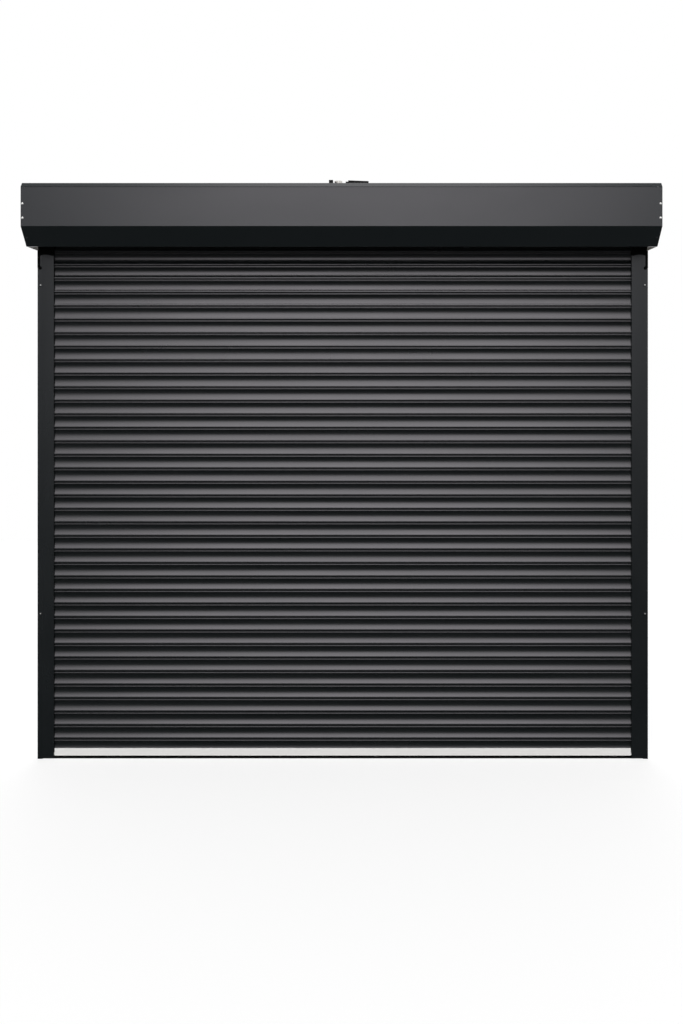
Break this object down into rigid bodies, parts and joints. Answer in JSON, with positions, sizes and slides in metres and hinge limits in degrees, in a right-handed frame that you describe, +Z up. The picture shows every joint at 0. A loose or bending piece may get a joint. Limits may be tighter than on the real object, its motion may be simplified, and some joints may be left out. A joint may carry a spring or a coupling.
{
  "type": "exterior roller shutter",
  "caption": "Surface-mounted exterior roller shutter: chamfered box, side guides and a dished slat curtain with a bottom rail, wound on a motor-driven roller.",
  "frame": {"origin": "middle of the width and of the depth, at the sill", "axes": "+X to the right for someone facing the shutter from outside, +Y towards the wall, +Z up"},
  "size_m": [2.48, 0.2414, 2.331],
  "materials": {
    "box_paint": "satin anthracite paint",
    "guide_paint": "satin black paint",
    "slat_paint": "satin anthracite paint",
    "galvanised": "galvanised",
    "bright_zinc": "zinc plated",
    "bolt_steel": "weathered zinc",
    "black_steel": "black painted",
    "black_plastic": "matt moulded",
    "black_rubber": "matt",
    "rail_aluminium": "mill finish",
    "roller_steel": "galvanised",
    "bearing_steel": "ground",
    "grey_plastic": "matt moulded"
  },
  "bodies": {
    "frame": {"front_panel": "box_paint", "top_panel": "box_paint", "back_panel": "box_paint", "guide_chamber_left": "guide_paint", "guide_chamber_right": "guide_paint", "guide_front_legs": "guide_paint", "guide_rear_legs": "guide_paint", "end_plate_left": "galvanised", "end_plate_right": "galvanised", "motor_bracket": "galvanised", "bearing_holder": "galvanised", "soffit_bolt": "bolt_steel", "soffit_nut": "bolt_steel", "panel_rivets": "bright_zinc", "foot_screws": "bright_zinc", "soffit_bracket": "black_steel", "guide_inlet_left": "black_plastic", "guide_inlet_right": "black_plastic", "guide_hole_plugs": "black_plastic", "guide_foot_plugs": "black_plastic", "guide_seals": "black_rubber", "cable_grommet": "black_rubber", "motor_tube": "roller_steel", "bearing_outer_ring": "bearing_steel", "motor_head": "grey_plastic"},
    "curtain": {"bottom_rail": "rail_aluminium", "bottom_seal": "black_rubber", "rail_end_plugs": "black_plastic", "end_locks_lower": "black_plastic", "end_locks_upper": "black_plastic", "slat_01": "slat_paint", "slats_02_03": "slat_paint", "slats_04_05": "slat_paint", "slats_06_07": "slat_paint", "slats_08_09": "slat_paint", "slats_10_11": "slat_paint", "slats_12_13": "slat_paint", "slats_14_15": "slat_paint", "slats_16_17": "slat_paint", "slats_18_19": "slat_paint", "slats_20_21": "slat_paint", "slats_22_23": "slat_paint", "slats_24_25": "slat_paint", "slats_26_27": "slat_paint", "slats_28_29": "slat_paint", "slats_30_31": "slat_paint", "slats_32_33": "slat_paint", "slats_34_35": "slat_paint", "slats_36_37": "slat_paint", "slats_38_39": "slat_paint"},
    "roller": {"roller_tube": "roller_steel", "drive_wheel": "grey_plastic", "drive_spindle": "bearing_steel", "limit_crown": "grey_plastic", "idler_capsule": "grey_plastic", "idler_pin": "bearing_steel", "bearing_inner_ring": "bearing_steel", "bearing_balls": "bearing_steel", "curtain_straps": "roller_steel", "strap_screws": "bright_zinc"}
  },
  "joints": [
    {"name": "curtain_lift", "type": "slide", "parent": "frame", "child": "curtain", "axis": [0, 0, 1], "range_m": [0, 1.99], "deforming": ["slats_02_03", "slats_04_05", "slats_06_07", "slats_08_09", "slats_10_11", "slats_12_13", "slats_14_15", "slats_16_17", "slats_18_19", "slats_20_21", "slats_22_23", "slats_24_25", "slats_26_27", "slats_28_29", "slats_30_31", "slats_32_33", "slats_34_35", "slats_36_37", "slats_38_39", "end_locks_upper"]},
    {"name": "roller_spin", "type": "hinge", "parent": "frame", "child": "roller", "pos_m": [0, 0, 2.19], "axis": [1, 0, 0], "range_deg": [0, 1551]}
  ],
  "couplings": [
    {"joint": "roller_spin", "follows": "curtain_lift", "rad_per_m": 13.6}
  ]
}
